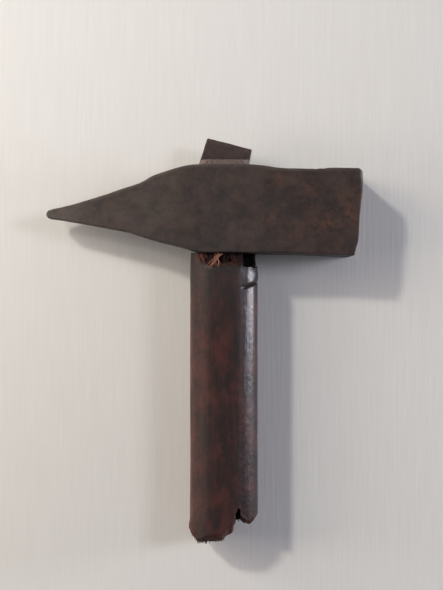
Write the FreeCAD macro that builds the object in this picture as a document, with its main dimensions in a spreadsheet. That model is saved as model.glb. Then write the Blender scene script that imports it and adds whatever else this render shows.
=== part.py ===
"""Tack hammer: forged head, round wooden handle, iron eye wedge and a strip of eye packing. Millimetres.

The hammer lies on one cheek of its head. X runs along the head, from the pein (-X) to the striking face (+X).
Y runs along the handle, from its free end (-Y) up through the eye to the wedge (+Y). Z is up, through the
thickness of the head. The origin is on the lower cheek, below the middle of the eye.
"""

import FreeCAD, Part
import math
import os

import Sketcher

V = FreeCAD.Vector

# Driving dimensions. Each becomes a cell of the sheet, under its own name.
DIMENSIONS = {
    # head, seen from the cheek
    "face_top_x": 47.1,
    "face_top_y": 13.3,
    "face_foot_x": 44.7,
    "poll_foot_y": 16.7,
    "head_top_y": 14.6,
    "head_foot_y": 15.35,
    "crown_x": 9.5,
    "flare_start_x": 22.0,
    "waist_radius": 160.0,
    "brow_x": 15.0,
    "brow_y": 13.7,
    "pein_root_x": 26.5,
    "pein_root_y": 9.8,
    "pein_top_radius": 135.0,
    "pein_foot_radius": 300.0,
    "tip_x": 60.4,
    "tip_top_y": 0.5,
    "tip_foot_y": 2.7,
    "tip_radius": 1.25,
    # head, through its thickness
    "head_thickness": 24.0,
    "tip_thickness": 7.5,
    "edge_chamfer": 1.0,
    # eye and tenon
    "eye_length": 18.4,
    "eye_width": 13.0,
    "eye_corner": 3.5,
    "eye_spread": 1.3,
    "tenon_proud": 1.9,
    "packing_thickness": 0.9,
    # grip
    "grip_radius": 11.55,
    "neck_radius": 11.35,
    "neck_length": 9.0,
    "handle_length": 100.2,
    "end_rounding": 3.2,
    # broken shoulder, seen from the front: a shallow frayed gap and a deep chip
    "frayed_floor_z": 17.6,
    "frayed_left_x": 8.8,
    "frayed_depth": 4.0,
    "chip_left_x": 6.7,
    "chip_floor_z": 8.0,
    "chip_depth": 5.4,
    # broken end: where the break starts, steps, turns and leaves the side, measured up from the end
    "break_start_x": 0.9,
    "break_step_x": 3.1,
    "break_step_rise": 3.7,
    "break_root_x": 3.9,
    "break_root_rise": 7.2,
    "break_side_rise": 9.5,
    "split_x": 4.4,
    "split_width": 1.2,
    "split_floor_z": 16.0,
    "split_rise": 11.4,
    # wedge and kerf
    "wedge_width": 15.8,
    "wedge_lean": 15.5,
    "wedge_top_x": 2.1,
    "wedge_top_y": 22.2,
    "wedge_blade": 14.0,
    "wedge_foot_x": 5.5,
    "wedge_foot_y": 7.0,
    "wedge_top_thickness": 4.2,
    "wedge_foot_thickness": 1.2,
    "kerf_top_y": 24.4,
    "kerf_foot_y": 12.0,
    # packing
    "packing_left_x": 6.0,
    "packing_right_x": 5.4,
    "packing_top_y": 8.0,
    "packing_tail": 3.6,
}


class Size(float):
    """A number that remembers the sheet formula it comes from, so that a sum of sizes gives both."""

    def __new__(cls, value, formula=None):
        size = super().__new__(cls, value)
        size.formula = formula or repr(float(value))
        return size

    def combine(self, sign, other, value):
        other_formula = getattr(other, "formula", repr(float(other)))
        return Size(value, f"({self.formula} {sign} {other_formula})")

    def __add__(self, other):
        return self.combine("+", other, float(self) + float(other))

    def __sub__(self, other):
        return self.combine("-", other, float(self) - float(other))

    def __mul__(self, other):
        return self.combine("*", other, float(self) * float(other))

    def __truediv__(self, other):
        return self.combine("/", other, float(self) / float(other))

    def __neg__(self):
        return Size(-float(self), f"(0 - {self.formula})")


def sine(angle):
    return Size(math.sin(math.radians(angle)), f"sin({angle.formula} * 1 deg)")


def cosine(angle):
    return Size(math.cos(math.radians(angle)), f"cos({angle.formula} * 1 deg)")


class Sheet:
    """The spreadsheet of driving dimensions, read back as sizes: sheet.head_thickness and so on."""

    def __init__(self, doc, dimensions):
        cells = doc.addObject("Spreadsheet::Sheet", "Sizes")
        for row, (name, value) in enumerate(dimensions.items(), start=1):
            cells.set(f"A{row}", name)
            cells.set(f"B{row}", str(value))
            cells.setAlias(f"B{row}", name)
            setattr(self, name, Size(value, f"Sizes.{name}"))
        doc.recompute()


doc = FreeCAD.newDocument("TackHammer")
d = Sheet(doc, DIMENSIONS)
ZERO = Size(0.0)
MIDDLE = d.head_thickness / 2  # height of the handle's axis
TENON_TOP = d.head_top_y + d.tenon_proud


def new_body(label):
    body = doc.addObject("PartDesign::Body", label)
    body.Label = label
    return body


def new_sketch(body, name, plane, offset=None):
    """A sketch on one of the body's own origin planes, shifted along that plane's normal."""
    sketch = body.newObject("Sketcher::SketchObject", name)
    planes = {feature.Role: feature for feature in body.Origin.OriginFeatures}
    sketch.AttachmentSupport = [(planes[plane], "")]
    sketch.MapMode = "FlatFace"
    if offset:
        sketch.AttachmentOffset = FreeCAD.Placement(V(0, 0, float(offset)), FreeCAD.Rotation())
        sketch.setExpression("AttachmentOffset.Base.z", offset.formula)
    return sketch


def hold(sketch, constraint, size):
    """Adds one dimension to the sketch and binds it to the sheet."""
    index = sketch.addConstraint(Sketcher.Constraint(*constraint, float(size)))
    sketch.setExpression(f"Constraints[{index}]", size.formula)


def hold_point(sketch, geometry, end, point):
    """Fixes one end of one edge at a distance from the sketch's origin, each way."""
    for kind, value in zip(("DistanceX", "DistanceY"), point):
        if value >= 0:
            hold(sketch, (kind, -1, 1, geometry, end), value)
        else:
            hold(sketch, (kind, geometry, end, -1, 1), -value)


def outline(sketch, corners, arcs=None):
    """A closed outline through the corners. arcs gives, for the edge that leaves a corner, its signed radius:
    positive bulges to the right of the way the outline runs. A sketch's arcs run anticlockwise, so the edge
    of a negative radius is drawn from its end to its start."""
    arcs = arcs or {}
    starts = []
    for i, corner in enumerate(corners):
        following = corners[(i + 1) % len(corners)]
        p, q = (V(float(x), float(y), 0) for x, y in (corner, following))
        backwards = i in arcs and arcs[i] < 0
        starts.append(2 if backwards else 1)
        if i in arcs:
            chord = q - p
            sagitta = abs(arcs[i]) - math.sqrt(float(arcs[i]) ** 2 - (chord.Length / 2) ** 2)
            side = V(chord.y, -chord.x, 0).normalize() * math.copysign(sagitta, arcs[i])
            middle = (p + q) / 2 + side
            sketch.addGeometry(Part.Arc(q, middle, p) if backwards else Part.Arc(p, middle, q), False)
        else:
            sketch.addGeometry(Part.LineSegment(p, q), False)
    for i, start in enumerate(starts):
        following = (i + 1) % len(corners)
        sketch.addConstraint(Sketcher.Constraint("Coincident", i, 3 - start, following, starts[following]))
        hold_point(sketch, i, start, corners[i])
    for i, radius in arcs.items():
        hold(sketch, ("Radius", i), radius if radius > 0 else -radius)


def rounded_rectangle(sketch, left, right, foot, top, corner):
    """A rectangle with four equal round corners, from one side to the other and from foot to top."""
    corners = [
        (left + corner, foot),
        (right - corner, foot),
        (right, foot + corner),
        (right, top - corner),
        (right - corner, top),
        (left + corner, top),
        (left, top - corner),
        (left, foot + corner),
    ]
    outline(sketch, corners, {i: corner for i in (1, 3, 5, 7)})


def pad(body, name, sketch, length, symmetric=False):
    feature = body.newObject("PartDesign::Pad", name)
    feature.Profile = sketch
    feature.SideType = "Symmetric" if symmetric else "One side"
    feature.setExpression("Length", length.formula)
    return feature


def cut_through(body, name, sketch):
    """A pocket through everything, both ways from its sketch."""
    feature = body.newObject("PartDesign::Pocket", name)
    feature.Profile = sketch
    feature.SideType = "Symmetric"
    feature.Type = "ThroughAll"
    return feature


def cut_above(body, name, floor_z, corners):
    """A pocket from a level floor up through everything above it."""
    sketch = new_sketch(body, f"{name}_outline", "XY_Plane", floor_z)
    outline(sketch, corners)
    feature = body.newObject("PartDesign::Pocket", name)
    feature.Profile = sketch
    feature.SideType = "One side"
    feature.Type = "ThroughAll"
    feature.Reversed = True
    return feature


def loft(body, kind, name, sketches):
    feature = body.newObject(f"PartDesign::{kind}Loft", name)
    feature.Profile = sketches[0]
    feature.Sections = sketches[1:]
    feature.Ruled = True
    return feature


def eye_section(body, name, y, spread, front_gap):
    """The eye's section at a height y along the handle, grown by spread and set back from the eye's front."""
    sketch = new_sketch(body, name, "XZ_Plane", -y)
    half_length = d.eye_length / 2 + spread
    half_width = d.eye_width / 2 + spread
    rounded_rectangle(
        sketch, -half_length, half_length, MIDDLE - half_width, MIDDLE + half_width - front_gap, d.eye_corner
    )
    return sketch


# hammer_head: one forging, a slab tapered towards the tip of the pein, with the flared eye through it
head = new_body("hammer_head")
cheek = new_sketch(head, "cheek_outline", "XY_Plane")
outline(
    cheek,
    [
        (d.face_foot_x, -d.poll_foot_y),
        (d.face_top_x, d.face_top_y),
        (d.crown_x + 2, d.head_top_y),
        (-d.crown_x, d.head_top_y),
        (-d.brow_x, d.brow_y),
        (-d.pein_root_x, d.pein_root_y),
        (-d.tip_x, -d.tip_top_y),
        (-d.tip_x, -d.tip_foot_y),
        (-d.crown_x, -d.head_foot_y),
        (d.flare_start_x, -d.head_foot_y),
    ],
    {1: -d.waist_radius, 5: -d.pein_top_radius, 6: d.tip_radius, 7: -d.pein_foot_radius},
)
pad(head, "slab", cheek, d.head_thickness)

beyond_tip = -d.tip_x - 4
for name, cheek_z, tip_z, clear_z in (
    ("upper_taper", d.head_thickness, MIDDLE + d.tip_thickness / 2, d.head_thickness + 2),
    ("lower_taper", ZERO, MIDDLE - d.tip_thickness / 2, ZERO - 2),
):
    taper = new_sketch(head, f"{name}_outline", "XZ_Plane")
    outline(taper, [(-d.brow_x, cheek_z), (beyond_tip, tip_z), (beyond_tip, clear_z), (-d.brow_x, clear_z)])
    cut_through(head, name, taper)
doc.recompute()


def rim_edges(shape):
    """The edges between a cheek and a side wall, from the pein's root on, and the face's two upright corners."""
    names = []
    for i, edge in enumerate(shape.Edges, start=1):
        faces = shape.ancestorsOfType(edge, Part.Face)
        normals = [face.normalAt(*face.Surface.parameter(edge.CenterOfMass)) for face in faces]
        heights = sorted(abs(normal.z) for normal in normals)
        beside_cheek = heights[0] < 0.1 and heights[1] > 0.9 and edge.CenterOfMass.x > -d.brow_x
        face_corner = heights[1] < 0.1 and edge.BoundBox.XMin > d.flare_start_x
        if beside_cheek or face_corner:
            names.append(f"Edge{i}")
    return names


forged = head.Tip
rims = head.newObject("PartDesign::Chamfer", "worn_edges")
rims.Base = (forged, rim_edges(forged.Shape))
rims.setExpression("Size", d.edge_chamfer.formula)
doc.recompute()
solid_head_volume = head.Shape.Volume

loft(
    head,
    "Subtractive",
    "eye",
    [
        eye_section(head, "eye_foot", -d.head_foot_y - 2, ZERO, ZERO),
        eye_section(head, "eye_waist", ZERO, ZERO, ZERO),
        eye_section(head, "eye_mouth", TENON_TOP, d.eye_spread, ZERO),
    ],
)
doc.recompute()
if head.Shape.Volume > solid_head_volume - 6000:
    raise SystemExit("the eye cuts too little")

# handle: a turned grip with a worn end and a tenon that fills the eye, kerfed for the wedge
handle = new_body("handle")
shoulder_y = -d.head_foot_y
end_y = shoulder_y - d.handle_length
turning = new_sketch(handle, "turned_profile", "XY_Plane", MIDDLE)
outline(
    turning,
    [
        (ZERO, end_y),
        (d.grip_radius - d.end_rounding, end_y),
        (d.grip_radius, end_y + d.end_rounding),
        (d.grip_radius, shoulder_y - d.neck_length),
        (d.neck_radius, shoulder_y),
        (ZERO, shoulder_y),
    ],
    {1: d.end_rounding},
)
grip = handle.newObject("PartDesign::Revolution", "grip")
grip.Profile = turning
grip.ReferenceAxis = (turning, ["V_Axis"])
grip.Angle = 360

loft(
    handle,
    "Additive",
    "tenon",
    [
        eye_section(handle, "tenon_root", shoulder_y - 2, ZERO, d.packing_thickness),
        eye_section(handle, "tenon_waist", ZERO, ZERO, d.packing_thickness),
        eye_section(handle, "tenon_end", TENON_TOP, d.eye_spread, d.packing_thickness),
    ],
)

foot_gap = d.wedge_foot_thickness / 2
top_gap = d.wedge_top_thickness / 2
kerf = new_sketch(handle, "kerf_profile", "YZ_Plane")
outline(
    kerf,
    [
        (-d.kerf_foot_y, MIDDLE - foot_gap),
        (-d.wedge_foot_y, MIDDLE - foot_gap),
        (d.kerf_top_y, MIDDLE - top_gap),
        (d.kerf_top_y, MIDDLE + top_gap),
        (-d.wedge_foot_y, MIDDLE + foot_gap),
        (-d.kerf_foot_y, MIDDLE + foot_gap),
    ],
)
cut_through(handle, "kerf", kerf)

beyond_side = d.grip_radius + 2
break_foot = end_y - 2
cut_above(
    handle,
    "frayed_gap",
    d.frayed_floor_z,
    [
        (-d.frayed_left_x, shoulder_y - d.frayed_depth * 0.6),
        (-d.frayed_left_x / 2, shoulder_y - d.frayed_depth),
        (d.chip_left_x, shoulder_y - d.frayed_depth),
        (d.chip_left_x, shoulder_y),
        (-d.frayed_left_x, shoulder_y),
    ],
)
cut_above(
    handle,
    "shoulder_chip",
    d.chip_floor_z,
    [
        (d.chip_left_x, shoulder_y - d.chip_depth),
        (beyond_side, shoulder_y - d.chip_depth),
        (beyond_side, shoulder_y),
        (d.chip_left_x, shoulder_y),
    ],
)
cut_above(
    handle,
    "split",
    d.split_floor_z,
    [
        (d.split_x, end_y),
        (d.split_x + d.split_width, end_y),
        (d.split_x + d.split_width, end_y + d.split_rise),
        (d.split_x, end_y + d.split_rise),
    ],
)
broken = new_sketch(handle, "break_outline", "XY_Plane")
outline(
    broken,
    [
        (-d.break_start_x, break_foot),
        (beyond_side, break_foot),
        (beyond_side, end_y + d.break_side_rise),
        (d.break_root_x * 2, end_y + d.break_root_rise),
        (d.break_root_x, end_y + d.break_root_rise),
        (d.break_step_x, end_y + d.break_step_rise),
        (-d.break_start_x, end_y),
    ],
)
cut_through(handle, "broken_corner", broken)
doc.recompute()

# eye_wedge: a flat plate that leans towards the face, thinned to fit the kerf
wedge = new_body("eye_wedge")
lean_x = sine(d.wedge_lean)
lean_y = cosine(d.wedge_lean)
half_plate = d.wedge_width / 2
top_left = (d.wedge_top_x - half_plate * lean_y, d.wedge_top_y + half_plate * lean_x)
top_right = (d.wedge_top_x + half_plate * lean_y, d.wedge_top_y - half_plate * lean_x)
right_drop = top_right[1] + d.wedge_foot_y
plate = new_sketch(wedge, "plate_outline", "XY_Plane", MIDDLE)
outline(
    plate,
    [
        (-d.wedge_foot_x, -d.wedge_foot_y),
        (top_right[0] - right_drop * lean_x / lean_y, -d.wedge_foot_y),
        top_right,
        top_left,
        (top_left[0] - d.wedge_blade * lean_x, top_left[1] - d.wedge_blade * lean_y),
    ],
)
pad(wedge, "plate", plate, d.wedge_top_thickness, symmetric=True)
for name, foot_z, top_z, clear_z in (
    ("front_taper", MIDDLE + foot_gap, MIDDLE + top_gap, MIDDLE + top_gap * 2),
    ("back_taper", MIDDLE - foot_gap, MIDDLE - top_gap, MIDDLE - top_gap * 2),
):
    taper = new_sketch(wedge, f"{name}_outline", "YZ_Plane")
    below_foot = -d.wedge_foot_y
    outline(taper, [(below_foot, foot_z), (d.kerf_top_y, top_z), (d.kerf_top_y, clear_z), (below_foot, clear_z)])
    cut_through(wedge, name, taper)
doc.recompute()

# eye_packing: a strip against the front wall of the eye, whose tail hangs out below the head
packing = new_body("eye_packing")
eye_front = MIDDLE + d.eye_width / 2
front_at_top = eye_front + d.eye_spread * d.packing_top_y / TENON_TOP
tail_y = shoulder_y - d.packing_tail
strip = new_sketch(packing, "strip_profile", "YZ_Plane", (d.packing_right_x - d.packing_left_x) / 2)
outline(
    strip,
    [
        (tail_y, eye_front - d.packing_thickness),
        (ZERO, eye_front - d.packing_thickness),
        (d.packing_top_y, front_at_top - d.packing_thickness),
        (d.packing_top_y, front_at_top),
        (ZERO, eye_front),
        (tail_y, eye_front),
    ],
)
pad(packing, "strip", strip, d.packing_left_x + d.packing_right_x, symmetric=True)
doc.recompute()

bodies = (head, handle, wedge, packing)
for item in doc.Objects:
    if "Invalid" in item.State or "Error" in item.State:
        raise SystemExit(f"{item.Name} failed: {item.State}")
os.makedirs("parts", exist_ok=True)
for body in bodies:
    if body.Shape.isNull() or not body.Shape.isValid() or len(body.Shape.Solids) != 1:
        raise SystemExit(f"{body.Label} is not one valid solid")
    body.Shape.exportStep(f"parts/{body.Label}.step")
    print(f"{body.Label}: {body.Shape.Volume:.0f} mm3")
for i, body in enumerate(bodies):
    for other in bodies[i + 1 :]:
        overlap = body.Shape.common(other.Shape).Volume
        if overlap > 0.1:
            raise SystemExit(f"{body.Label} and {other.Label} overlap by {overlap:.2f} mm3")
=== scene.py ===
"""An old tack hammer with a broken handle, lying on one cheek of its head on pale paper.

Every piece is built in the CAD frame. X runs along the head to the striking face, Y along the handle to the
wedge, Z up. Places come from the CAD boxes; the sizes below are millimetres unless a name says otherwise.
"""
import math
import random

import bmesh
import bpy
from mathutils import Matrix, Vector, noise


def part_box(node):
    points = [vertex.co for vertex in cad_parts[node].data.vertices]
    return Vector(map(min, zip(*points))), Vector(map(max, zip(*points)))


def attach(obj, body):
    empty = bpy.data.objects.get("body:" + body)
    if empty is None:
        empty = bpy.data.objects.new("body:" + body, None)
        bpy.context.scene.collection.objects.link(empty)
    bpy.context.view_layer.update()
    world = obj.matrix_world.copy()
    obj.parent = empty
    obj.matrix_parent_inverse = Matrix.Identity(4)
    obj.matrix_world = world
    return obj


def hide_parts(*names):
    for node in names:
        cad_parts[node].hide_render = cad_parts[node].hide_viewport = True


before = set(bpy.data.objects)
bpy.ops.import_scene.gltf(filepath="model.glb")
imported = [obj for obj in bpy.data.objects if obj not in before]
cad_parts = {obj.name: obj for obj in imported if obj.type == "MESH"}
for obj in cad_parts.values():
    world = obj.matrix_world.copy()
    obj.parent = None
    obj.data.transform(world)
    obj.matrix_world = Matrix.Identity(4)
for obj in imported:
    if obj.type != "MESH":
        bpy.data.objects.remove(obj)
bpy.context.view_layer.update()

MM = 0.001
SEED = 20
WELD = 0.0004  # corners of a mesh closer than this are one


def cad_mm(node):
    """The lowest and highest corner of a CAD node, in millimetres."""
    return tuple(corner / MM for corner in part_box(node))


HEAD_LOW, HEAD_HIGH = cad_mm("hammer_head")
HANDLE_LOW, HANDLE_HIGH = cad_mm("handle")
WEDGE_LOW, WEDGE_HIGH = cad_mm("eye_wedge")
PACKING_LOW, PACKING_HIGH = cad_mm("eye_packing")

CHEEK_Z = HEAD_HIGH.z
MIDDLE_Z = CHEEK_Z / 2
TIP_X = HEAD_LOW.x - 0.3
FACE_X = 46.0  # the face's mean place; its edge leans out from here
SHOULDER_Y = -15.35
END_Y = HANDLE_LOW.y
TENON_TOP_Y = HANDLE_HIGH.y
GRIP_RADIUS = HANDLE_HIGH.x


# ---------------------------------------------------------------- shape helpers


def blend_step(value, start, end):
    """0 before start, 1 after end, smooth between them."""
    t = max(0.0, min(1.0, (value - start) / (end - start)))
    return t * t * (3 - 2 * t)


def rough(p, size, seed):
    """Smooth noise from -1 to 1 whose features are about size across; size may differ by axis."""
    sx, sy, sz = size if isinstance(size, tuple) else (size, size, size)
    return noise.noise(Vector((p[0] / sx + seed * 17.3, p[1] / sy - seed * 5.1, p[2] / sz + seed * 9.7)))


def curve_through(*points):
    """A smooth curve y(x) through points in order of x, held level beyond its ends."""
    xs = [p[0] for p in points]
    ys = [p[1] for p in points]
    last = len(points) - 1
    slopes = []
    for i in range(last + 1):
        a, b = max(0, i - 1), min(last, i + 1)
        slopes.append((ys[b] - ys[a]) / (xs[b] - xs[a]))

    def value(x):
        if x <= xs[0]:
            return ys[0]
        if x >= xs[last]:
            return ys[last]
        i = max(k for k in range(last) if xs[k] <= x)
        span = xs[i + 1] - xs[i]
        t = (x - xs[i]) / span
        return (
            ys[i] * (1 + 2 * t) * (1 - t) ** 2
            + slopes[i] * span * t * (1 - t) ** 2
            + ys[i + 1] * t * t * (3 - 2 * t)
            - slopes[i + 1] * span * t * t * (1 - t)
        )

    return value


def line_through(*points):
    """Straight runs y(x) through points in order of x, held level beyond its ends."""

    def value(x):
        for (x0, y0), (x1, y1) in zip(points, points[1:]):
            if x <= x1:
                return y0 + (y1 - y0) * max(0.0, (x - x0) / (x1 - x0))
        return points[-1][1]

    return value


def spaced(count, low=-1.0, high=1.0, crowd=0.45):
    """Grid lines from low to high, crowded towards both ends so that rounded edges get enough of them."""
    lines = []
    for i in range(count + 1):
        t = 2 * i / count - 1
        t = (1 - crowd) * t + crowd * math.sin(t * math.pi / 2)
        lines.append(low + (high - low) * (t + 1) / 2)
    return lines


def link(name, data):
    """A scene object that holds data."""
    made = bpy.data.objects.new(name, data)
    bpy.context.scene.collection.objects.link(made)
    return made


def make_object(name, corners, faces):
    """A mesh object from corners in millimetres."""
    mesh = bpy.data.meshes.new(name)
    mesh.from_pydata([tuple(c * MM for c in corner) for corner in corners], [], faces)
    mesh.update()
    return link(name, mesh)


def box_grid(name, us, vs, ws, place):
    """The skin of a box as quads: place turns its three grid coordinates into a point."""
    index, corners, faces = {}, [], []
    nu, nv, nw = len(us) - 1, len(vs) - 1, len(ws) - 1

    def at(i, j, k):
        if (i, j, k) not in index:
            index[i, j, k] = len(corners)
            corners.append(place(us[i], vs[j], ws[k]))
        return index[i, j, k]

    def quad(ring, outward):
        faces.append([at(*c) for c in (ring if outward else reversed(ring))])

    for i in range(nu):
        for j in range(nv):
            for k in (0, nw):
                quad([(i, j, k), (i + 1, j, k), (i + 1, j + 1, k), (i, j + 1, k)], k > 0)
    for i in range(nu):
        for k in range(nw):
            for j in (0, nv):
                quad([(i, j, k), (i, j, k + 1), (i + 1, j, k + 1), (i + 1, j, k)], j > 0)
    for j in range(nv):
        for k in range(nw):
            for i in (0, nu):
                quad([(i, j, k), (i, j + 1, k), (i, j + 1, k + 1), (i, j, k + 1)], i > 0)
    return make_object(name, corners, faces)


def soften(q, half, radius, power=1.5):
    """A point on a box's skin, moved onto worn edges of that radius. Power 2 is round, 1 a flat bevel."""
    inner = [max(-(h - radius), min(h - radius, c)) for c, h in zip(q, half)]
    reach = [c - i for c, i in zip(q, inner)]
    size = sum(abs(r) ** power for r in reach) ** (1 / power)
    if size <= radius:
        return list(q)
    return [i + r * radius / size for i, r in zip(inner, reach)]


def displace(piece, depth):
    """Moves each corner along its normal by depth(point), both in millimetres."""
    corners = piece.data.vertices
    normals = [v.normal.copy() for v in corners]
    for v, normal in zip(corners, normals):
        v.co += normal * depth(v.co / MM) * MM
    piece.data.update()


def carve(piece, cutter, operation="DIFFERENCE"):
    """Cuts cutter out of piece, or joins it to piece, and keeps the result as the piece's mesh."""
    change = piece.modifiers.new("carve", "BOOLEAN")
    change.object, change.operation, change.solver = cutter, operation, "EXACT"
    depsgraph = bpy.context.evaluated_depsgraph_get()
    before, piece.data = piece.data, bpy.data.meshes.new_from_object(piece.evaluated_get(depsgraph))
    piece.modifiers.clear()
    bpy.data.meshes.remove(before)
    bpy.data.objects.remove(cutter)


def clean(piece):
    """Welds corners that the cuts left on top of one another, and drops crumbs that they cut loose."""
    shape = bmesh.new()
    shape.from_mesh(piece.data)
    bmesh.ops.remove_doubles(shape, verts=shape.verts, dist=WELD * MM)
    left, parts = set(shape.faces), []
    while left:
        waiting = [left.pop()]
        part = list(waiting)
        while waiting:
            touching = {face for edge in waiting.pop().edges for face in edge.link_faces} & left
            left -= touching
            waiting += touching
            part += touching
        parts.append(part)
    parts.sort(key=len)
    crumbs = [face for part in parts[:-1] for face in part]
    bmesh.ops.delete(shape, geom=crumbs, context="FACES")
    shape.to_mesh(piece.data)
    shape.free()


def shade(piece, sharp_above_degrees):
    """Smooth shading, kept sharp across steep edges."""
    piece.data.shade_smooth()
    piece.data.set_sharp_from_angle(angle=math.radians(sharp_above_degrees))


def mark(piece, name, amount):
    """Stores amount(point in millimetres) on each corner, for the material to read."""
    layer = piece.data.attributes.new(name, "FLOAT", "POINT")
    layer.data.foreach_set("value", [amount(v.co / MM) for v in piece.data.vertices])


# ---------------------------------------------------------------- material helper


class Finish:
    """One material under construction. Sizes are in millimetres of the object's own coordinates."""

    def __init__(self, name, **fixed):
        self.material = bpy.data.materials.new(name)
        self.material.use_nodes = True
        self.tree = self.material.node_tree
        self.shader = self.tree.nodes["Principled BSDF"]
        for socket, value in fixed.items():
            self.shader.inputs[socket.replace("_", " ")].default_value = value
        self.place = self.node("ShaderNodeTexCoord").outputs["Object"]

    def node(self, kind, inputs=None, **settings):
        made = self.tree.nodes.new(kind)
        for key, value in settings.items():
            setattr(made, key, value)
        for socket, value in (inputs or {}).items():
            self.feed(made.inputs[socket], value)
        return made

    def feed(self, socket, value):
        if isinstance(value, bpy.types.NodeSocket):
            self.tree.links.new(value, socket)
        else:
            socket.default_value = (*value, 1.0) if isinstance(value, tuple) and len(value) == 3 else value

    def mottle(self, size, detail=3.0, roughness=0.55, offset=0.0):
        """Noise from 0 to 1 with features of that size, which may differ by axis."""
        sizes = size if isinstance(size, tuple) else (size, size, size)
        where = self.node("ShaderNodeMapping", {0: self.place})
        where.inputs["Scale"].default_value = [1 / (s * MM) for s in sizes]
        where.inputs["Location"].default_value = (offset, offset * 0.7, -offset)
        made = self.node("ShaderNodeTexNoise", {"Vector": where.outputs[0]})
        made.inputs["Scale"].default_value = 1.0
        made.inputs["Detail"].default_value = detail
        made.inputs["Roughness"].default_value = roughness
        return made.outputs[0]

    def cells(self, size, offset=0.0):
        """Distance to the middle of scattered cells of that size."""
        where = self.node("ShaderNodeMapping", {0: self.place})
        where.inputs["Scale"].default_value = [1 / (size * MM)] * 3
        where.inputs["Location"].default_value = (offset, -offset, offset)
        made = self.node("ShaderNodeTexVoronoi", {"Vector": where.outputs[0]})
        made.inputs["Scale"].default_value = 1.0
        return made.outputs["Distance"]

    def marked(self, name):
        return self.node("ShaderNodeAttribute", attribute_name=name).outputs["Fac"]

    def tinted(self, name):
        return self.node("ShaderNodeAttribute", attribute_name=name).outputs["Color"]

    def spread(self, value, low, high, to_low=0.0, to_high=1.0):
        """value between low and high, spread to to_low..to_high and held there."""
        made = self.node("ShaderNodeMapRange", {"Value": value}, clamp=True)
        for socket, number in zip(("From Min", "From Max", "To Min", "To Max"), (low, high, to_low, to_high)):
            made.inputs[socket].default_value = number
        return made.outputs[0]

    def times(self, a, b):
        return self.node("ShaderNodeMath", {0: a, 1: b}, operation="MULTIPLY").outputs[0]

    def less(self, a, b):
        return self.node("ShaderNodeMath", {0: a, 1: b}, operation="SUBTRACT").outputs[0]

    def mix(self, amount, a, b):
        made = self.node("ShaderNodeMix", data_type="RGBA")
        self.feed(made.inputs[0], amount)
        self.feed(made.inputs[6], a)
        self.feed(made.inputs[7], b)
        return made.outputs[2]

    def bump(self, height, depth, strength=1.0):
        """Relief of that depth in millimetres. Several stack, each over the last."""
        made = self.node("ShaderNodeBump", {"Height": height})
        made.inputs["Distance"].default_value = depth * MM
        made.inputs["Strength"].default_value = strength
        if self.shader.inputs["Normal"].is_linked:
            self.feed(made.inputs["Normal"], self.shader.inputs["Normal"].links[0].from_socket)
        self.feed(self.shader.inputs["Normal"], made.outputs[0])

    def put(self, **channels):
        for socket, value in channels.items():
            self.feed(self.shader.inputs[socket.replace("_", " ")], value)
        return self.material


# ---------------------------------------------------------------- head

# the cheek's upper and lower outline and half the thickness, each at places along x
HEAD_TOP = curve_through(
    (-61.4, -0.8), (-57.9, 0.0), (-49.5, 1.85), (-41.1, 4.25), (-37, 5.8), (-28.7, 8.5), (-24.5, 10.75),
    (-18.3, 12.75), (-12.2, 14.35), (-8, 14.6), (9, 14.6), (18.5, 13.4), (28, 13.05), (36.9, 13.35),
    (47.5, 13.3),
)
HEAD_FOOT = curve_through(
    (-61.4, -3.35), (-54.6, -4.25), (-42.2, -6.5), (-33.8, -8.05), (-25.4, -10.65), (-14.8, -13.4),
    (-8, -15.3), (0, -15.35), (20, -15.65), (32.8, -16.0), (47.5, -16.75),
)
HALF_THICK = curve_through((-61.4, 3.7), (-40, 7.5), (-17, 11.8), (-12, MIDDLE_Z), (47.5, MIDDLE_Z))
# where the face is, at places along y
FACE_EDGE = curve_through(
    (-16.8, 44.5), (-14.6, 44.9), (-11.2, 45.75), (-1, 46.5), (6.5, 47.35), (13.4, 47.2),
)
EYE_HALF_X, EYE_HALF_Z, EYE_CORNER = 9.2, 6.5, 3.5
EYE_SPREAD = 1.3  # how far each side of the eye opens out by the tenon's end
EYE_PLAY = 0.12  # room left round the tenon
EYE_MARGIN = 4  # how far the eye's cutter reaches past the head
ROUNDEST = 0.85  # the roundest an edge may be, as a share of the half width there

# rust patches on the upper cheek: x, y, radius, strength
RUST_PATCHES = (
    (18.4, 10.1, 2.6, 0.8), (45.2, 4.4, 2.2, 0.8), (40.8, 3.3, 2.6, 0.7), (41.8, -0.6, 2.6, 0.8),
    (35.0, -5.4, 4.6, 1.0), (44.6, -3.6, 2.8, 0.9), (16.0, -4.8, 3.2, 0.7), (24.9, -7.9, 3.2, 0.7),
    (-48.0, 0.2, 3.0, 0.35), (29.0, 6.0, 3.0, 0.35), (-12.0, -8.0, 4.0, 0.3), (6.0, 3.0, 4.0, 0.25),
)


def edge_radius(x, v):
    """Wear of the head's edges: rounded on top, crisp below, and dubbed over at the face's upper corner."""
    upper = blend_step(v, -0.2, 0.8)
    body = 0.4 + 0.5 * upper * blend_step(x, -50, -12)
    at_face = 0.4 + 1.0 * blend_step(v, 0.55, 1.0)
    worn = body + (at_face - body) * blend_step(x, 40, 45)
    return worn * (1 + 0.3 * rough((x, v * 15, 0), 7, 1))


def head_point(x, v, w):
    top, foot = HEAD_TOP(x), HEAD_FOOT(x)
    half = ((FACE_X - TIP_X) / 2, (top - foot) / 2, HALF_THICK(x))
    radius = min(edge_radius(x, v), ROUNDEST * half[1], ROUNDEST * half[2])
    radius += (ROUNDEST * half[1] - radius) * (1 - blend_step(x, TIP_X, TIP_X + 3)) * 0.7
    middle = (FACE_X + TIP_X) / 2
    px, py, pz = soften((x - middle, v * half[1], w * half[2]), half, radius)
    px += middle
    py += (top + foot) / 2
    px += (FACE_EDGE(py) - FACE_X) * blend_step(px, 22, FACE_X)
    return px, py, MIDDLE_Z + pz


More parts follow.
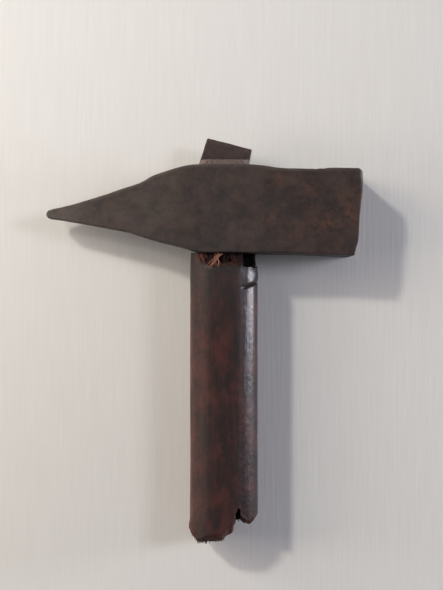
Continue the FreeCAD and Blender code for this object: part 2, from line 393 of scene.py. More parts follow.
def forge_marks(p):
    """Hammer flats, a coarse skin and scattered rust pits."""
    flats = 0.20 * rough(p, 15, 2) + 0.10 * rough(p, 5.5, 3) + 0.045 * rough(p, 1.9, 4)
    pits = blend_step(rough(p, 2.3, 5), 0.22, 0.55) * blend_step(rough(p, 12, 6), -0.25, 0.35)
    return flats - 0.11 * pits - 0.03


def eye_point(grow):
    """Places a grid on the flared, rounded section that the eye and the tenon share."""

    def place(u, y, w):
        spread = EYE_SPREAD * max(0.0, y) / TENON_TOP_Y + grow
        half = (EYE_HALF_X + spread, EYE_HALF_Z + spread)
        x, z = soften((u * half[0], w * half[1]), half, EYE_CORNER, power=2)
        return x, y, MIDDLE_Z + z

    return place


def make_head():
    head = box_grid("forged_head", spaced(200, TIP_X, FACE_X), spaced(54), spaced(44), head_point)
    displace(head, forge_marks)
    low, high = SHOULDER_Y - EYE_MARGIN, TENON_TOP_Y + EYE_MARGIN
    steps = [low + (high - low) * i / 8 for i in range(9)]
    carve(head, box_grid("eye_cutter", spaced(30), steps, spaced(24), eye_point(EYE_PLAY)))
    clean(head)

    def wear(p):
        across = min(HEAD_TOP(p.x) - p.y, p.y - HEAD_FOOT(p.x))
        through = HALF_THICK(p.x) - abs(p.z - MIDDLE_Z)
        along = FACE_EDGE(p.y) - p.x
        gaps = sorted((abs(across), abs(through), abs(along)))
        near_edge = 1 - blend_step(math.hypot(gaps[0], gaps[1]), 0.25, 1.5)
        # upper edges are made lighter than lower ones: partly real wear, partly a painted highlight where
        # light falls on the top edge
        upper = 0.1 + 0.9 * blend_step(p.y, -2, 8)
        return near_edge * upper * (0.65 + 0.5 * rough(p, 3.5, 7))

    def rust(p):
        total = 0.0
        for x, y, radius, strength in RUST_PATCHES:
            total += strength * math.exp(-((p.x - x) ** 2 + (p.y - y) ** 2) / radius ** 2)
        browned = (0.15 + 0.3 * blend_step(p.x, 2, 26)) * (0.6 + 0.9 * rough(p, 7, 8))
        return browned + (total if p.z > MIDDLE_Z else 0.4 * blend_step(rough(p, 9, 9), 0.1, 0.6))

    def pale(p):
        """Lighter towards the pein's tip: painted light, where the pool of light falls on the pein."""
        return 0.05 + 0.5 * blend_step(p.x, -40, -57)

    def dark(p):
        """Darker towards the poll: painted shade where the pool of light does not reach, broken into dark
        patches.
        """
        return blend_step(p.x, 6, 30) * (0.75 + 0.5 * rough(p, 9, 10))

    for name, amount in (("wear", wear), ("rust", rust), ("pale", pale), ("dark", dark)):
        mark(head, name, amount)
    shade(head, 50)
    return head


def iron_finish(name, dark, light, rust_amount, offset):
    """Old forged iron: brown-black skin, thin rust, small pits and rubbed edges."""
    greyed, scale, browned = (0.075, 0.055, 0.048), (0.020, 0.021, 0.024), (0.082, 0.046, 0.036)
    pein_painted_light, shade_and_dark_patches, pit = (0.125, 0.108, 0.100), (0.019, 0.015, 0.015), (0.020, 0.015, 0.014)
    dark_rust, light_rust, bare_edge = (0.075, 0.036, 0.026), (0.120, 0.060, 0.042), (0.135, 0.105, 0.088)
    f = Finish(name, Metallic=0.2, Specular_IOR_Level=0.35)
    broad = f.mottle(15, detail=4, roughness=0.6, offset=offset)
    middle = f.mottle(5.5, detail=5, roughness=0.62, offset=offset + 3)
    small = f.mottle(2.1, detail=4, roughness=0.65, offset=offset + 7)
    fine = f.mottle(0.7, detail=4, roughness=0.7, offset=offset + 5)
    pits = f.spread(f.cells(1.1, offset), 0.05, 0.30, 1.0, 0.0)
    skin = f.mix(f.spread(broad, 0.36, 0.64), dark, light)
    skin = f.mix(f.spread(middle, 0.48, 0.66, 0.0, 0.6), skin, greyed)
    skin = f.mix(f.spread(middle, 0.34, 0.48, 0.75, 0.0), skin, scale)
    skin = f.mix(f.spread(small, 0.52, 0.70, 0.0, 0.45), skin, browned)
    # painted light: the pein is made paler towards its tip, where the pool of light falls
    skin = f.mix(f.times(f.marked("pale"), f.spread(small, 0.3, 0.6, 0.5, 0.9)), skin, pein_painted_light)
    # on the head this is painted shade towards the poll; on the wedge it gives scattered dark patches
    skin = f.mix(f.times(f.marked("dark"), f.spread(middle, 0.35, 0.62, 0.85, 0.3)), skin, shade_and_dark_patches)
    rusty = f.times(f.marked("rust"), f.spread(small, 0.38, 0.58, 0.15, 1.0))
    rusty = f.times(rusty, rust_amount)
    rust_tone = f.mix(f.spread(fine, 0.35, 0.65), dark_rust, light_rust)
    skin = f.mix(rusty, skin, rust_tone)
    skin = f.mix(f.times(pits, 0.14), skin, pit)
    # bare edges: real wear, and on the head's upper edges also a painted highlight
    rubbed = f.times(f.marked("wear"), f.spread(fine, 0.35, 0.60, 0.35, 1.0))
    skin = f.mix(f.times(rubbed, 0.8), skin, bare_edge)
    gloss = f.spread(fine, 0.3, 0.7, 0.55, 0.75)
    gloss = f.less(gloss, f.times(rubbed, 0.16))
    f.bump(middle, 0.22, 0.5)
    f.bump(fine, 0.08, 0.5)
    f.bump(pits, -0.08, 0.5)
    return f.put(Base_Color=skin, Roughness=gloss)


# ---------------------------------------------------------------- handle

# whittled flats round the grip: angle in degrees from +X towards +Z, and distance from the axis
FLATS = (
    (91, 11.3), (49, 12.5), (1, 11.78), (-46, 12.25), (-90, 11.3), (-134, 12.25), (180, 11.66), (136, 12.3),
)
FLAT_SHARPNESS = 13  # higher makes the edges between the flats crisper
# the broken end's outline: height above the end, along x
BREAK = line_through(
    (-11.9, 6.25), (-11.7, 4.5), (-11.2, 3.4), (-10.3, 2.0), (-9.1, 0.8), (-7.7, 0.35), (-3.7, 0.35),
    (-0.8, 0.5), (0.45, 1.75), (1.5, 2.6), (2.9, 3.3), (3.4, 4.55), (3.55, 5.95), (4.1, 7.3), (5.15, 7.9),
    (6.6, 7.45), (7.9, 6.7), (9.1, 7.2), (10.2, 8.2), (11.8, 10.2),
)
END_DOME_ABOVE, END_DOME_BELOW = 5.0, 2.2  # how far the end is worn back at its upper and lower rims
NICK_START, NICK_END = (6.4, -27.6), (11.6, -25.6)
NICK_HALF_WIDTH = 0.42

CLEAR_Z = 28  # well above the handle
# holes torn in the handle: lowest corner, highest corner, how ragged, grid
FRAYED_GAP = (-8.8, SHOULDER_Y - 4.6, 17.2), (6.9, SHOULDER_Y + 0.6, CLEAR_Z), 0.75, (60, 24, 24)
CHIP = (6.6, SHOULDER_Y - 5.1, 6.9), (15, SHOULDER_Y + 0.6, CLEAR_Z), 0.6, (30, 26, 36)
SPLIT = (4.0, END_Y + 4, 13.5), (6.0, END_Y + 13.2, CLEAR_Z), 0.9, (16, 40, 28)

# the packing's seat in the tenon: its grid along x and y, its floor, and the floor's rise with the flare
SEAT_X, SEAT_Y = [-6.05, 5.45], [SHOULDER_Y - 3.6, 0, 8.05]
SEAT_FLOOR_Z, SEAT_RISE, SEAT_HEIGHT = 17.55, 0.63, 4

TENON_STEPS = 36
TENON_END_TAPER = 0.035
TENON_TRIM = 0.165  # how much narrower the tenon is where it stands out of the head


def grip_radius(angle, y):
    """The grip's section: a round worn into mild flats, a little thinner at the neck."""
    total = 0.0
    for degrees, distance in FLATS:
        facing = math.cos(angle - math.radians(degrees))
        if facing > 0:
            total += (facing / distance) ** FLAT_SHARPNESS
    neck = 0.2 * blend_step(y, SHOULDER_Y - 9, SHOULDER_Y)
    return total ** (-1 / FLAT_SHARPNESS) - neck


def broken_end(x, z):
    """Y of the handle's free end, which is ragged and worn back towards its upper and lower rims."""
    height = max(-1.0, min(1.0, (z - MIDDLE_Z) / GRIP_RADIUS))
    dome = (END_DOME_ABOVE if height > 0 else END_DOME_BELOW) * (1 - math.sqrt(1 - height ** 2))
    torn = blend_step(x, 0.5, 2.5)
    fringe = blend_step(x, -6, -9.5)
    splinters = (0.35 + 0.4 * torn) * rough((x, 0, z), (1.1, 1, 2.2), 21)
    splinters += (0.35 + 0.2 * torn + 0.5 * fringe) * rough((x, 0, z), (0.5, 1, 0.8), 22)
    splinters += 0.9 * torn * rough((x, 0, z), (3, 1, 6), 23)
    return END_Y + 0.1 + BREAK(x) + dome + splinters


def nick_depth(x, y):
    """How deep the slanting nick on the upper side is at a place, from 0 to 1."""
    ax, ay = NICK_START
    run = (NICK_END[0] - ax, NICK_END[1] - ay)
    off = ((x - ax) * run[1] - (y - ay) * run[0]) / math.hypot(*run)
    return blend_step(x, ax - 0.8, ax + 1.6) * math.exp(-(off / NICK_HALF_WIDTH) ** 2)


def grip_relief(x, y, z):
    """Grain ridges, slow whittling, dents and one slanting nick, in millimetres along the radius."""
    p = (x, y, z)
    relief = 0.16 * rough(p, (9, 26, 9), 24) + 0.06 * rough(p, (2.2, 16, 2.2), 25)
    relief += 0.035 * rough(p, (0.7, 11, 0.7), 26) + 0.03 * rough(p, 1.3, 27)
    if z > MIDDLE_Z:
        relief -= 0.7 * nick_depth(x, y)
        swell = math.exp(-((y + 23.5) / 2.6) ** 2) * blend_step(x, 5.5, 8)
        relief += swell * (0.18 + 0.13 * rough(p, (1.8, 2.4, 1.8), 28))
    mushroomed = blend_step(y, END_Y + 9, END_Y + 5) * blend_step(x, -8, -11)
    relief += mushroomed * (0.35 + 0.45 * rough(p, (0.7, 1.2, 0.9), 30))
    frayed_rim = blend_step(y, SHOULDER_Y - 6.5, SHOULDER_Y - 3.5) * blend_step(z, 15, 19)
    relief -= frayed_rim * 0.35 * (0.5 + rough(p, (0.9, 3, 0.9), 29))
    return relief


def make_grip():
    """The grip as rings round the axis, with both ends closed by narrowing rings."""
    columns, side_rings, cap_rings = 180, 236, 26
    levels = [(t + 1) / 2 for t in spaced(side_rings, crowd=0.25)]  # 0 at the broken end, 1 at the shoulder
    corners, faces = [], []

    def rim(angle, y):
        radius = grip_radius(angle, y)
        x, z = radius * math.cos(angle), radius * math.sin(angle)
        radius += grip_relief(x, y, MIDDLE_Z + z)
        return radius * math.cos(angle), MIDDLE_Z + radius * math.sin(angle)

    angles = [2 * math.pi * i / columns for i in range(columns)]
    for ring in range(cap_rings - 1, 0, -1):
        for angle in angles:
            x, z = rim(angle, END_Y)
            share = (cap_rings - ring) / cap_rings
            x, z = x * share, MIDDLE_Z + (z - MIDDLE_Z) * share
            corners.append((x, broken_end(x, z), z))
    for level in levels:
        for angle in angles:
            x, z = rim(angle, END_Y + level * (SHOULDER_Y - END_Y))
            low = broken_end(x, z)
            y = low + level * (SHOULDER_Y - low)
            x, z = rim(angle, y)
            corners.append((x, y, z))
    for ring in range(1, cap_rings):
        for angle in angles:
            x, z = rim(angle, SHOULDER_Y)
            share = (cap_rings - ring) / cap_rings
            corners.append((x * share, SHOULDER_Y, MIDDLE_Z + (z - MIDDLE_Z) * share))
    rings = len(corners) // columns
    for r in range(rings - 1):
        for c in range(columns):
            n = (c + 1) % columns
            faces.append([r * columns + c, (r + 1) * columns + c, (r + 1) * columns + n, r * columns + n])
    for ring, y in ((0, broken_end(0, MIDDLE_Z)), (rings - 1, SHOULDER_Y)):
        hub = len(corners)
        corners.append((0, y, MIDDLE_Z))
        for c in range(columns):
            pair = [ring * columns + c, ring * columns + (c + 1) % columns]
            faces.append([hub, *pair] if ring == 0 else [hub, *reversed(pair)])
    return make_object("broken_handle", corners, faces)


def cutter_block(name, low, high, ragged, counts, lean=0.0, ramp=0.0, rounded=0.0):
    """A rough-sided block that tears a hole. Ragged is how far its skin wanders, and lean its slope to +x.
    Ramp is how far its floor rises towards the low-y side, and rounded how round it is from above."""

    def place(u, v, w):
        if rounded:
            u, v = soften((u, v), (1, 1), rounded, power=2)
        x, y, z = [lo + (hi - lo) * (c + 1) / 2 for lo, hi, c in zip(low, high, (u, v, w))]
        side = 0.5 * rough((0, y, z), (1, 2.5, 1.5), 31) + 0.35 * rough((0, y, z), (1, 1.1, 2), 35)
        end = rough((x, 0, z), (0.9, 1, 1.6), 32) + 0.8 * rough((x, 0, z), (2.4, 1, 3), 34)
        floor = 0.5 * ragged * rough((x, y, 0), (1.2, 2.5, 1), 33)
        return (
            x + lean * (y - low[1]) + ragged * side,
            y + ragged * end,
            z + ramp * (1 - v) / 2 * (1 - w) / 2 + floor,
        )

    lines = [[2 * i / n - 1 for i in range(n + 1)] for n in counts]
    return box_grid(name, *lines, place)


def seat_point(x, y, w):
    """The packing's seat, whose floor rises with the eye's flare."""
    floor = SEAT_FLOOR_Z + SEAT_RISE if y > 0 else SEAT_FLOOR_Z
    return x, y, floor + w * SEAT_HEIGHT


def make_handle():
    handle = make_grip()
    low = SHOULDER_Y - 2
    steps = [low + (TENON_TOP_Y - low) * i / TENON_STEPS for i in range(TENON_STEPS + 1)]
    section = eye_point(0.0)

    def tenon_point(u, y, w):
        """The eye's section, smaller at its very end, and trimmed in line with the wedge above the head."""
        x, y, z = section(u, y, w)
        at_end = blend_step(y, TENON_TOP_Y - 1.2, TENON_TOP_Y)
        trimmed = blend_step(y, HEAD_TOP(0) - 0.5, HEAD_TOP(0))
        shrink = 1 - TENON_END_TAPER * at_end
        narrow = 1 - TENON_TRIM * trimmed
        leaning = trimmed * (0.05 + 0.25 * (y - HEAD_TOP(0)))
        y += at_end * (0.25 * rough((x, 0, z), 1.4, 34) + 0.15 * rough((x, 0, z), 0.6, 35))
        return x * shrink * narrow + leaning, y, MIDDLE_Z + (z - MIDDLE_Z) * shrink

    carve(handle, box_grid("tenon", spaced(44), steps, spaced(32), tenon_point), "UNION")
    carve(handle, cutter_block("frayed_cutter", *FRAYED_GAP, ramp=5.4))
    carve(handle, cutter_block("chip_cutter", *CHIP))
    carve(handle, cutter_block("split_cutter", *SPLIT, lean=-0.02, rounded=0.9))
    carve(handle, box_grid("seat_cutter", SEAT_X, SEAT_Y, [0, 1], seat_point))
    carve(handle, wedge_grid("kerf_cutter", grow=KERF_PLAY, above=3.0, worn=0.0, counts=(2, 6, 2)))
    clean(handle)

    def depth_in(p):
        """0 on the grip's skin, 1 inside its cuts."""
        radius = grip_radius(math.atan2(p.z - MIDDLE_Z, p.x), p.y)
        return 1 - blend_step(math.hypot(p.x, p.z - MIDDLE_Z), radius - 0.9, radius - 0.45)

    def torn(p):
        """Bare broken wood: the frayed gap, the split and the broken end."""
        at_chip = blend_step(p.x, 6.2, 6.8) * blend_step(p.y, -30, -25)
        end_y = broken_end(p.x, p.z)
        end = 1 - blend_step(p.y, end_y + 0.1, end_y + 0.8)
        fringe = blend_step(p.x, -7, -10) * blend_step(p.y, END_Y + 10, END_Y + 5)
        return max(depth_in(p) * (1 - 0.9 * at_chip), end * (0.1 + 0.2 * rough(p, 2.0, 36)) + 0.45 * fringe)

    def polish(p):
        """The side of the grip that hands have kept glossy."""
        angle = math.degrees(math.atan2(p.z - MIDDLE_Z, p.x))
        return blend_step(angle, -10, 4) * (1 - blend_step(angle, 58, 70)) * blend_step(p.y, -18, -21)

    def rubbed(p):
        """The side opposite the glossy one, painted a lighter red: painted light where the light from the
        left falls on it.
        """
        angle = math.degrees(math.atan2(p.z - MIDDLE_Z, p.x)) % 360
        return blend_step(angle, 136, 162) * (1 - blend_step(angle, 200, 230)) * blend_step(p.y, -24, -32)

    def recess_shade(p):
        """Painted shade: near black in the chip at the shoulder, in the nick and in the split, where shade
        falls in the hollows.
        """
        at_chip = blend_step(p.x, 6.0, 6.8) * blend_step(p.y, -24, -21) * (1 - blend_step(p.y, 12, 14))
        at_split = 0.55 * blend_step(p.x, 3.2, 3.8) * (1 - blend_step(p.x, 6, 6.6))
        at_split *= 1 - blend_step(p.y, -101, -100)
        in_nick = nick_depth(p.x, p.y) * blend_step(p.z, MIDDLE_Z, MIDDLE_Z + 2)
        return max(depth_in(p) * max(at_chip, at_split), 0.9 * blend_step(in_nick, 0.15, 0.7))

    def weathered(p):
        """The tenon's end, dried grey where it stands out of the head."""
        return blend_step(p.y, 13.5, 14.4)

    def grime(p):
        """Dirt rubbed into the wood near the head."""
        return blend_step(p.y, -35, -25) * (0.8 + 0.4 * rough(p, (3, 6, 3), 37))

    for name, amount in (("torn", torn), ("grime", grime), ("polish", polish), ("rubbed", rubbed),
                         ("recess_shade", recess_shade), ("weathered", weathered)):
        mark(handle, name, amount)
    shade(handle, 38)
    return handle


def wood_finish():
    """Dark varnished wood gone red-brown, with worn streaks along the grain and grime at the neck."""
    dark_grain, red_grain = (0.014, 0.0068, 0.0065), (0.040, 0.0125, 0.0105)
    red_patch, dark_patch = (0.080, 0.020, 0.017), (0.012, 0.0085, 0.0085)
    pore, speck, left_side_painted_light = (0.010, 0.006, 0.005), (0.10, 0.044, 0.036), (0.130, 0.058, 0.048)
    dirt, recess_shade_tone = (0.021, 0.018, 0.018), (0.004, 0.0035, 0.004)
    bare_dark, bare_light = (0.040, 0.014, 0.010), (0.120, 0.044, 0.028)
    dry_dark, dry_light = (0.110, 0.074, 0.064), (0.200, 0.160, 0.146)
    f = Finish("oiled_red_wood", Specular_IOR_Level=0.4)
    streaks = f.mottle((2.0, 22, 2.0), detail=5, roughness=0.6, offset=2)
    fine = f.mottle((0.35, 9, 0.35), detail=4, roughness=0.65, offset=6)
    patches = f.mottle((5, 8, 5), detail=5, roughness=0.62, offset=9)
    specks = f.mottle(1.1, detail=4, roughness=0.7, offset=12)
    tone = f.mix(f.spread(streaks, 0.36, 0.64), dark_grain, red_grain)
    tone = f.mix(f.spread(patches, 0.48, 0.64, 0.0, 0.7), tone, red_patch)
    tone = f.mix(f.spread(patches, 0.33, 0.46, 0.7, 0.0), tone, dark_patch)
    tone = f.mix(f.spread(fine, 0.50, 0.72, 0.0, 0.4), tone, pore)
    tone = f.mix(f.spread(specks, 0.60, 0.74, 0.0, 0.35), tone, speck)
    # painted light: the grip's left side is made a lighter red, as the light from the left falls on it
    lit_left_side = f.times(f.marked("rubbed"), f.spread(patches, 0.35, 0.6, 0.35, 0.85))
    tone = f.mix(lit_left_side, tone, left_side_painted_light)
    grime = f.times(f.marked("grime"), f.spread(specks, 0.3, 0.6, 0.95, 0.6))
    tone = f.mix(grime, tone, dirt)
    bare = f.mix(f.spread(fine, 0.35, 0.65), bare_dark, bare_light)
    tone = f.mix(f.times(f.marked("torn"), 0.85), tone, bare)
    # painted shade: the chip, the nick and the split are made near black
    tone = f.mix(f.times(f.marked("recess_shade"), 0.95), tone, recess_shade_tone)
    dry = f.mix(f.spread(specks, 0.35, 0.65), dry_dark, dry_light)
    tone = f.mix(f.marked("weathered"), tone, dry)
    matt = f.spread(specks, 0.3, 0.7, 0.55, 0.75)
    glossy = f.spread(specks, 0.3, 0.7, 0.26, 0.42)
    gloss = f.mix(f.marked("polish"), matt, glossy)
    gloss = f.mix(f.marked("torn"), gloss, (0.85, 0.85, 0.85))
    gloss = f.mix(f.marked("recess_shade"), gloss, (1.0, 1.0, 1.0))
    f.bump(fine, 0.10, 0.5)
    f.bump(streaks, 0.16, 0.35)
    f.bump(specks, 0.06, 0.4)
    return f.put(Base_Color=tone, Roughness=gloss)


# ---------------------------------------------------------------- wedge

# the plate's top edge, sides and thickness; its blade narrows towards the foot
WEDGE_LEAN = math.radians(14.6)
WEDGE_LEFT_LEAN, WEDGE_RIGHT_LEAN = math.radians(17.7), math.radians(10.6)
WEDGE_WIDTH, WEDGE_BLADE = 16.0, 14.0
WEDGE_TOP = (2.05, 22.5)
WEDGE_FOOT = (-5.5, -7.0)
WEDGE_THICK = line_through((-7.0, 1.2), (24.4, 4.2))
KERF_PLAY = 0.06  # room left round the wedge in its kerf


def wedge_grid(name, grow, above, worn, counts):
    """The wedge's plate, or with grow and above, the kerf that it sits in."""
    across = Vector((math.cos(WEDGE_LEAN), -math.sin(WEDGE_LEAN)))
    down_left = Vector((-math.sin(WEDGE_LEFT_LEAN), -math.cos(WEDGE_LEFT_LEAN)))
    down_right = Vector((-math.sin(WEDGE_RIGHT_LEAN), -math.cos(WEDGE_RIGHT_LEAN)))
    top = Vector(WEDGE_TOP)
    half = WEDGE_WIDTH / 2 + grow
    right_top = top + across * half
    right_run = (right_top.y - WEDGE_FOOT[1] + grow) / math.cos(WEDGE_RIGHT_LEAN)
    foot = Vector(WEDGE_FOOT) - Vector((grow, grow))

    def left_at(run):
        if run <= WEDGE_BLADE:
            return top - across * half + down_left * run
        start = top - across * half + down_left * WEDGE_BLADE
        return start.lerp(foot, (run - WEDGE_BLADE) / (right_run - WEDGE_BLADE))

    def on_plate(across_share, down_share):
        run = -above + down_share * (right_run + above)
        return left_at(run).lerp(right_top + down_right * run, across_share)

    def place(u, v, w):
        flat = on_plate((u + 1) / 2, (v + 1) / 2)
        thick = WEDGE_THICK(flat.y) / 2 + grow
        if not worn:
            return flat.x, flat.y, MIDDLE_Z + w * thick
        tall = (right_run + above) / 2
        radius = min(worn * (1 + 0.4 * rough((flat.x, flat.y, w), 2.5, 41)), thick * 0.8)
        x, y, z = soften((u * half, -v * tall, w * thick), (half, tall, thick), radius, 1.4)
        flat = on_plate((x / half + 1) / 2, (1 - y / tall) / 2)
        return flat.x, flat.y, MIDDLE_Z + z

    # rows run downwards, so the depth lines run the other way to keep the skin facing out
    return box_grid(name, spaced(counts[0]), spaced(counts[1]), spaced(counts[2])[::-1], place)


def make_wedge():
    wedge = wedge_grid("iron_wedge", grow=0.0, above=0.0, worn=0.38, counts=(56, 96, 16))

    def sheared(p):
        return 0.07 * rough(p, 5, 42) + 0.05 * rough(p, 1.6, 43)

    displace(wedge, sheared)

    def wear(p):
        rim = WEDGE_HIGH.y - 0.45 - (p.x - WEDGE_LOW.x) * math.tan(WEDGE_LEAN) * 0.9
        return 0.5 * blend_step(p.y, rim - 0.6, rim + 0.4) * (0.6 + rough(p, 1.5, 44))

    mark(wedge, "wear", wear)
    mark(wedge, "rust", lambda p: 0.35 + 0.5 * rough(p, 4, 45))
    mark(wedge, "pale", lambda p: 0.0)
    mark(wedge, "dark", lambda p: 0.25 + 0.3 * rough(p, 5, 46))
    shade(wedge, 50)
    return wedge


# ---------------------------------------------------------------- packing

BARE_WOOD = (0.085, 0.036, 0.024)
ORANGE, PINK = (0.66, 0.30, 0.20), (0.24, 0.085, 0.065)
DARK_RED, BROWN = (0.05, 0.014, 0.013), (0.018, 0.009, 0.008)
STRIP_MIDDLE_Z, STRIP_HALF_THICK = 18.05, 0.36
# tufts that hang out below the head: root, end, strands, radius, colour
TUFTS = (
    ((-7.6, -15.6, 21.6), (-6.8, -18.4, 23.4), 15, 0.08, PINK),
    ((-7.9, -15.8, 20.6), (-8.0, -17.8, 22.8), 8, 0.08, PINK),
    ((-1.2, -15.8, 22.8), (-4.9, -20.4, 24.0), 9, 0.075, ORANGE),
    ((-2.8, -15.8, 22.2), (-1.6, -19.4, 23.8), 6, 0.065, ORANGE),
    ((-3.6, -16.0, 21.6), (-6.0, -18.8, 23.4), 6, 0.085, DARK_RED),
    ((2.6, -16.0, 21.4), (4.8, -20.2, 23.8), 11, 0.10, DARK_RED),
    ((4.8, -16.0, 20.8), (3.2, -19.8, 23.4), 8, 0.09, DARK_RED),
    ((0.8, -15.8, 20.6), (0.4, -19.0, 23.0), 12, 0.14, BROWN),
    ((-5.2, -15.8, 20.2), (-5.0, -18.6, 22.4), 12, 0.14, BROWN),
    ((5.4, -15.8, 20.2), (5.8, -18.6, 22.4), 10, 0.14, BROWN),
)


def make_strip():
    """The flat strip of packing against the front wall of the eye, with a frayed lower edge."""
    low, high = PACKING_LOW, PACKING_HIGH

    def place(u, v, w):
        x = low.x + (high.x - low.x) * (u + 1) / 2
        tail = blend_step(v, -0.55, -1.0)
        y = low.y + (high.y - low.y) * (v + 1) / 2
        y += tail * (0.9 + 1.1 * rough((x, 0, 0), 0.8, 51))
        flare = EYE_SPREAD * max(0.0, y) / TENON_TOP_Y
        z = STRIP_MIDDLE_Z + flare + STRIP_HALF_THICK * w * (1 - 0.5 * tail)
        z += tail * (0.25 * rough((x, y, 0), 1.2, 52))
        return x, y, z

    us, vs, ws = spaced(72, crowd=0.1), spaced(120, crowd=0.2), spaced(4, crowd=0.2)
    strip = box_grid("packing_strip", us, vs, ws, place)
    tones = [0.7 + 0.6 * rough(v.co / MM, (0.5, 3, 0.5), 53) for v in strip.data.vertices]
    paint(strip, [[c * tone for c in BROWN] for tone in tones])
    shade(strip, 60)
    return strip


class Fibres:
    """Thin tapering tubes, bent at random and gathered into one mesh. One colour is kept for each corner."""

    SIDES, KNOTS = 6, 9

    def __init__(self):
        self.pick = random.Random(SEED)
        self.corners, self.faces, self.tints = [], [], []

    def near(self, point, across, along, up):
        """A point at random around another one."""
        return Vector(point) + Vector([self.pick.uniform(-r, r) for r in (across, along, up)])

    def add(self, start, stop, thick, bend, colour):
        base = len(self.corners)
        run = (stop - start).normalized()
        side = run.cross(Vector((0.3, 0.2, 1))).normalized()
        lift = run.cross(side)
        phase = self.pick.uniform(0, 6)
        for k in range(self.KNOTS):
            t = k / (self.KNOTS - 1)
            middle = start.lerp(stop, t) + bend * math.sin(math.pi * t)
            middle += Vector([0.08 * math.sin(9 * t + phase)] * 3)
            slim = thick * (1 - 0.75 * t ** 2)
            for s in range(self.SIDES):
                turn = 2 * math.pi * s / self.SIDES
                self.corners.append(middle + (side * math.cos(turn) + lift * math.sin(turn)) * slim)
                self.tints.append([c * (0.8 + 0.4 * t) for c in colour])
        for k in range(self.KNOTS - 1):
            for s in range(self.SIDES):
                n = (s + 1) % self.SIDES
                a, b = base + k * self.SIDES, base + (k + 1) * self.SIDES
                self.faces.append([a + s, a + n, b + n, b + s])
        self.faces.append([base + s for s in reversed(range(self.SIDES))])
        self.faces.append([base + (self.KNOTS - 1) * self.SIDES + s for s in range(self.SIDES)])

    def build(self, name):
        made = make_object(name, self.corners, self.faces)
        paint(made, self.tints)
        shade(made, 80)
        return made


def paint(piece, colours):
    """Stores one colour for each corner, for the material to read."""
    layer = piece.data.color_attributes.new("tint", "FLOAT_COLOR", "POINT")
    for corner, colour in zip(layer.data, colours):
        corner.color = (*colour, 1)


def make_strands():
    """Loose strands of packing that hang out of the eye in tufts."""
    fibres = Fibres()
    pick = fibres.pick
    for root, end, count, radius, colour in TUFTS:
        for _ in range(count):
            start, stop = fibres.near(root, 0.9, 0.25, 0.5), fibres.near(end, 1.3, 0.9, 0.6)
            bend = Vector((pick.uniform(-0.7, 0.7), pick.uniform(-0.3, 0.3), pick.uniform(0.0, 0.5)))
            tone = pick.uniform(0.6, 1.35)
            fibres.add(start, stop, radius * pick.uniform(0.6, 1.2), bend, [c * tone for c in colour])
    return fibres.build("packing_strands")


# splinters along the broken end: from x, to x, how many, longest
SPLINTERS = ((-11.4, -6.0, 120, 1.2), (-6.0, 0.5, 60, 0.7), (0.5, 10.5, 45, 0.6))
SPLINTER_ROOT = 0.8  # how deep in the wood each one starts


def make_splinters():
    """Short splinters that stand out of the handle's broken end."""
    fibres = Fibres()
    pick = fibres.pick
    for low_x, high_x, count, longest in SPLINTERS:
        for _ in range(count):
            x = pick.uniform(low_x, high_x)
            half = math.sqrt(GRIP_RADIUS ** 2 - x ** 2) * 0.85
            z = MIDDLE_Z + pick.uniform(-half, half)
            y = broken_end(x, z)
            start = Vector((x * 0.96, y + SPLINTER_ROOT, z))
            aside, length, rise = pick.uniform(-0.5, 0.3), pick.uniform(0.2, longest), pick.uniform(-0.5, 0.5)
            stop = start + Vector((aside, -SPLINTER_ROOT - length, rise))
            tone = pick.uniform(0.5, 1.3)
            fibres.add(start, stop, pick.uniform(0.12, 0.26), Vector(), [c * tone for c in BARE_WOOD])
    return fibres.build("end_splinters")


def fibre_finish(name):
    """Dry frayed fibre, coloured by each strand's own tint."""
    f = Finish(name, Specular_IOR_Level=0.25, Roughness=0.85, Sheen_Weight=0.15)
    fine = f.mottle((0.15, 1.2, 0.15), detail=3)
    between = (0.02, 0.008, 0.006)
    tone = f.mix(f.spread(fine, 0.3, 0.7, 0.55, 0.0), f.tinted("tint"), between)
    f.bump(fine, 0.08, 0.6)
    return f.put(Base_Color=tone)


# ---------------------------------------------------------------- paper, light, camera


PAPER_REACH = 2600.0
BEAM_RADIUS, BEAM_EDGE_BLUR = 90, 0.05
ROOM_COLOUR, ROOM_STRENGTH = (0.91, 0.89, 1.0, 1), 0.15
LENS_MM, SENSOR_MM = 85, 36
CAMERA_PLACE = (-0.77, -29.93, 496.8)


def make_floor():
    """A wide sheet of pale paper under the hammer."""
    lines = [-PAPER_REACH, -400, -200, -100, 0, 100, 200, 400, PAPER_REACH]
    corners = [(x, y, 0.0) for y in lines for x in lines]
    n = len(lines)
    starts = [j * n + i for j in range(n - 1) for i in range(n - 1)]
    faces = [[c, c + 1, c + n + 1, c + n] for c in starts]
    floor = make_object("paper", corners, faces)
    f = Finish("laid_paper", Roughness=0.9, Specular_IOR_Level=0.2)
    laid = f.mottle((0.9, 26, 4), detail=3, roughness=0.6)
    cloudy = f.mottle(14, detail=3)
    between_lines, on_lines, clouded = (0.790, 0.788, 0.765), (0.835, 0.833, 0.812), (0.80, 0.79, 0.765)
    tone = f.mix(f.spread(laid, 0.3, 0.7), between_lines, on_lines)
    tone = f.mix(f.spread(cloudy, 0.35, 0.65, 0.0, 0.35), tone, clouded)
    f.bump(laid, 0.12, 0.4)
    floor.data.materials.append(f.put(Base_Color=tone))


def aim(thing, target):
    thing.rotation_euler = (Vector(target) - thing.location).to_track_quat("-Z", "Y").to_euler()


def soft_light(name, place, target, size, watts, colour):
    """A square studio light at place, in millimetres, aimed at target."""
    lamp = bpy.data.lights.new(name, "AREA")
    lamp.shape, lamp.size, lamp.size_y = "RECTANGLE", size[0] * MM, size[1] * MM
    lamp.energy, lamp.color = watts, colour
    made = link(name, lamp)
    made.location = Vector(place) * MM
    aim(made, Vector(target) * MM)


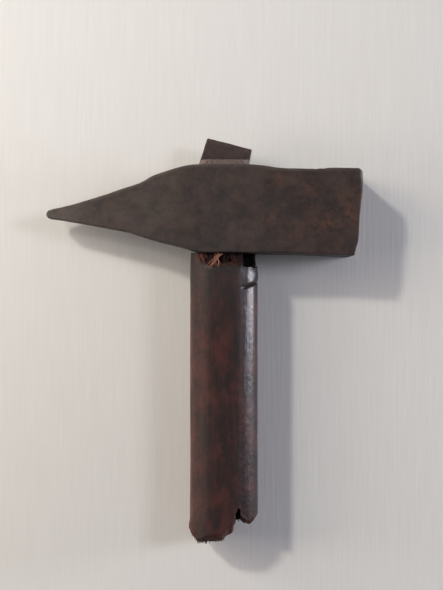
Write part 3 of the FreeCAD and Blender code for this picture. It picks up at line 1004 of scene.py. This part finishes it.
def beam_light(name, place, target, edge, watts, colour):
    """A far spotlight at place, aimed at target, whose pool of light ends at edge. All are in millimetres."""
    lamp = bpy.data.lights.new(name, "SPOT")
    lamp.energy, lamp.color, lamp.shadow_soft_size = watts, colour, BEAM_RADIUS * MM
    to_target, to_edge = Vector(target) - Vector(place), Vector(edge) - Vector(place)
    lamp.spot_size, lamp.spot_blend = 2 * to_target.angle(to_edge), BEAM_EDGE_BLUR
    made = link(name, lamp)
    made.location = Vector(place) * MM
    aim(made, Vector(target) * MM)


def make_lights():
    soft_light("key_left", (-1000, 885, 1390), (0, -30, 0), (150, 150), 11.5, (1.0, 0.975, 0.88))
    beam_light("beam_left", (-920, 531, 1575), (-312, 301, 0), (-18, 31, 0), 30, (0.96, 1.0, 0.99))
    soft_light("wide_left", (-470, 190, 330), (-20, 0, 0), (240, 480), 1.3, (1.0, 0.86, 0.72))
    soft_light("low_left", (-480, -60, 110), (0, -50, 10), (120, 400), 1.1, (1.0, 0.88, 0.78))
    soft_light("second_right", (1300, 280, 1450), (0, -30, 0), (420, 420), 6.7, (0.91, 0.90, 1.0))
    soft_light("low_right", (540, 15, 55), (0, -30, 15), (130, 80), 2.3, (0.88, 0.90, 1.0))
    world = bpy.data.worlds.new("room")
    world.use_nodes = True
    background = world.node_tree.nodes["Background"].inputs
    background["Color"].default_value = ROOM_COLOUR
    background["Strength"].default_value = ROOM_STRENGTH
    bpy.context.scene.world = world


def make_camera():
    """Straight above the hammer, upright to the handle."""
    lens = bpy.data.cameras.new("camera")
    lens.lens, lens.sensor_width, lens.clip_start = LENS_MM, SENSOR_MM, 0.01
    camera = link("camera", lens)
    camera.location = Vector(CAMERA_PLACE) * MM
    bpy.context.scene.camera = camera
    bpy.context.scene.view_settings.view_transform = "Standard"


# ---------------------------------------------------------------- assembly


def place_piece(piece, material, slot, *nodes):
    """Gives a finished piece its material and its body, and hides the CAD nodes that it stands for."""
    piece.data.materials.clear()
    piece.data.materials.append(material)
    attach(piece, "root")
    if nodes:
        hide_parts(*nodes)


head_iron = iron_finish(
    "forged_iron", dark=(0.036, 0.029, 0.028), light=(0.056, 0.042, 0.037), rust_amount=0.75, offset=0)
wedge_iron = iron_finish(
    "wedge_iron", dark=(0.050, 0.030, 0.028), light=(0.046, 0.038, 0.038), rust_amount=0.4, offset=8)
fibre = fibre_finish("frayed_packing")
place_piece(make_head(), head_iron, "forged_iron", "hammer_head")
place_piece(make_handle(), wood_finish(), "handle_wood", "handle")
place_piece(make_wedge(), wedge_iron, "wedge_iron", "eye_wedge")
place_piece(make_strip(), fibre, "packing_fibre", "eye_packing")
place_piece(make_strands(), fibre, "packing_fibre")
place_piece(make_splinters(), fibre_finish("torn_wood"), "handle_wood")
make_floor()
make_lights()
make_camera()
